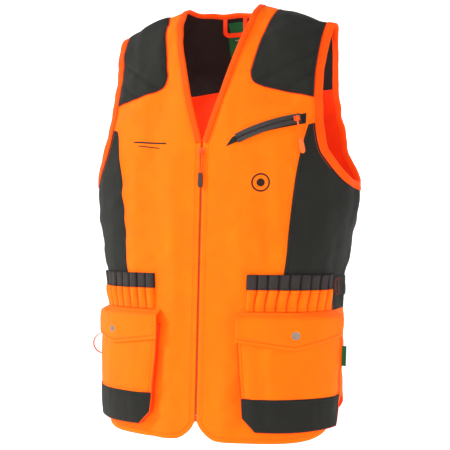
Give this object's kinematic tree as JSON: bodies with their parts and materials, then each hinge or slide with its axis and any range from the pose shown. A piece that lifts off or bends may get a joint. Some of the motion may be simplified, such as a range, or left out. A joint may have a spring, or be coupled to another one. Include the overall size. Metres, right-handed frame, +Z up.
{
  "type": "shooting vest",
  "caption": "Sleeveless high-visibility hunting vest with a centre zip, bellows pockets, cartridge loops and quilted shoulders.",
  "frame": {"origin": "on the vertical axis through the middle of the wearer's trunk, level with the front hem", "axes": "+Z up, the front faces -Y, the wearer's left is +X"},
  "size_m": [0.4695, 0.2637, 0.7241],
  "materials": {
    "shell_orange": "fluorescent orange polyester twill, matt, slightly crisp, topstitched in matching thread",
    "panel_dark": "dark olive-black ripstop fabric, hard wearing, faint sheen",
    "binding_orange": "folded orange twill binding with one row of stitching",
    "lining_dark": "smooth black lining cloth",
    "lining_red": "the inner side of the orange cloth, deeper in colour",
    "zip_tape_orange": "woven zip tape",
    "zip_plastic_orange": "moulded zip teeth, satin",
    "zip_plastic_dark": "dark coil zip and its tape",
    "slider_orange": "die-cast slider with orange enamel",
    "pull_cord_orange": "braided cord",
    "pull_tip_dark": "moulded grip, dark maroon",
    "pull_tip_orange": "moulded grip, orange",
    "snap_metal": "pressed snap fastener, antique nickel",
    "loop_elastic_dark": "ribbed elastic, dark grey",
    "waist_elastic_dark": "wide ribbed elastic, dark grey",
    "webbing_red": "narrow woven webbing",
    "ribbon_orange": "folded ribbon of the shell cloth",
    "label_green": null
  },
  "bodies": {
    "vest": {"armhole_binding_left": "binding_orange", "armhole_binding_right": "binding_orange", "back_panel": "shell_orange", "back_yoke": "panel_dark", "back_yoke_lining": "lining_dark", "cartridge_band_left": "loop_elastic_dark", "cartridge_band_right": "loop_elastic_dark", "cartridge_pleats_left": "shell_orange", "cartridge_pleats_right": "shell_orange", "chest_pocket_bag": "lining_red", "chest_welt": "panel_dark", "chest_zip_lower": "zip_plastic_dark", "chest_zip_upper": "zip_plastic_dark", "flap_header_left": "shell_orange", "flap_header_right": "shell_orange", "front_facing_left": "lining_red", "front_facing_right": "lining_red", "front_panel_left": "shell_orange", "front_panel_right": "shell_orange", "neck_binding": "binding_orange", "neck_label": "label_green", "pocket_face_left": "shell_orange", "pocket_face_right": "shell_orange", "pocket_gusset_left": "shell_orange", "pocket_gusset_right": "shell_orange", "pocket_patch_left": "panel_dark", "pocket_patch_right": "panel_dark", "shoulder_patch_left": "panel_dark", "shoulder_patch_right": "panel_dark", "side_label": "label_green", "side_panel_left": "panel_dark", "side_panel_right": "panel_dark", "size_label": "label_green", "snap_stud_left": "snap_metal", "snap_stud_right": "snap_metal", "waist_elastic_left": "waist_elastic_dark", "waist_elastic_right": "waist_elastic_dark", "zip_box": "zip_plastic_orange", "zip_pin": "zip_plastic_orange", "zip_stop_left": "zip_plastic_orange", "zip_stop_right": "zip_plastic_orange", "zip_tape_left": "zip_tape_orange", "zip_tape_right": "zip_tape_orange", "zip_teeth_left": "zip_plastic_orange", "zip_teeth_right": "zip_plastic_orange"},
    "zip_slider": {"zip_slider": "slider_orange"},
    "zip_pull": {"zip_pull_cord": "pull_cord_orange", "zip_pull_tip": "pull_tip_dark"},
    "chest_slider": {"chest_slider": "slider_orange"},
    "chest_pull": {"chest_pull_cord": "pull_cord_orange", "chest_pull_tip": "pull_tip_orange"},
    "flap_left": {"pocket_flap_left": "shell_orange", "snap_cap_left": "snap_metal", "snap_socket_left": "snap_metal"},
    "flap_right": {"pocket_flap_right": "shell_orange", "snap_cap_right": "snap_metal", "snap_socket_right": "snap_metal"},
    "hanger_loop": {"hanger_loop": "webbing_red"},
    "lead_loop": {"lead_loop": "ribbon_orange"}
  },
  "joints": [
    {"name": "zip_slide", "type": "slide", "parent": "vest", "child": "zip_slider", "axis": [0, -0.0629, -0.998], "range_m": [0, 0.414]},
    {"name": "zip_pull_swing", "type": "hinge", "parent": "zip_slider", "child": "zip_pull", "pos_m": [0, -0.11444, 0.46273], "axis": [-1, 0, 0], "range_deg": [0, 150]},
    {"name": "chest_zip_slide", "type": "hinge", "parent": "vest", "child": "chest_slider", "pos_m": [0.12346, 0.08023, 0.3087], "axis": [0.3773, -0.6894, -0.6184], "range_deg": [0, 20.3]},
    {"name": "chest_pull_swing", "type": "hinge", "parent": "chest_slider", "child": "chest_pull", "pos_m": [0.15515, -0.09278, 0.51457], "axis": [-0.9194, -0.3592, -0.1604], "range_deg": [0, 120]},
    {"name": "flap_left_lift", "type": "hinge", "parent": "vest", "child": "flap_left", "pos_m": [0.17114, -0.10382, 0.19648], "axis": [-0.8176, -0.5757, 0], "range_deg": [0, 110]},
    {"name": "flap_right_lift", "type": "hinge", "parent": "vest", "child": "flap_right", "pos_m": [-0.17114, -0.10382, 0.19648], "axis": [-0.8176, 0.5757, 0], "range_deg": [0, 110]},
    {"name": "hanger_swing", "type": "hinge", "parent": "vest", "child": "hanger_loop", "pos_m": [0, 0.0541, 0.7139], "axis": [-1, 0, 0], "range_deg": [0, 112]},
    {"name": "lead_loop_swing", "type": "hinge", "parent": "vest", "child": "lead_loop", "pos_m": [-0.20573, -0.03118, 0.13401], "axis": [0, 0, -1], "range_deg": [0, 60]}
  ]
}
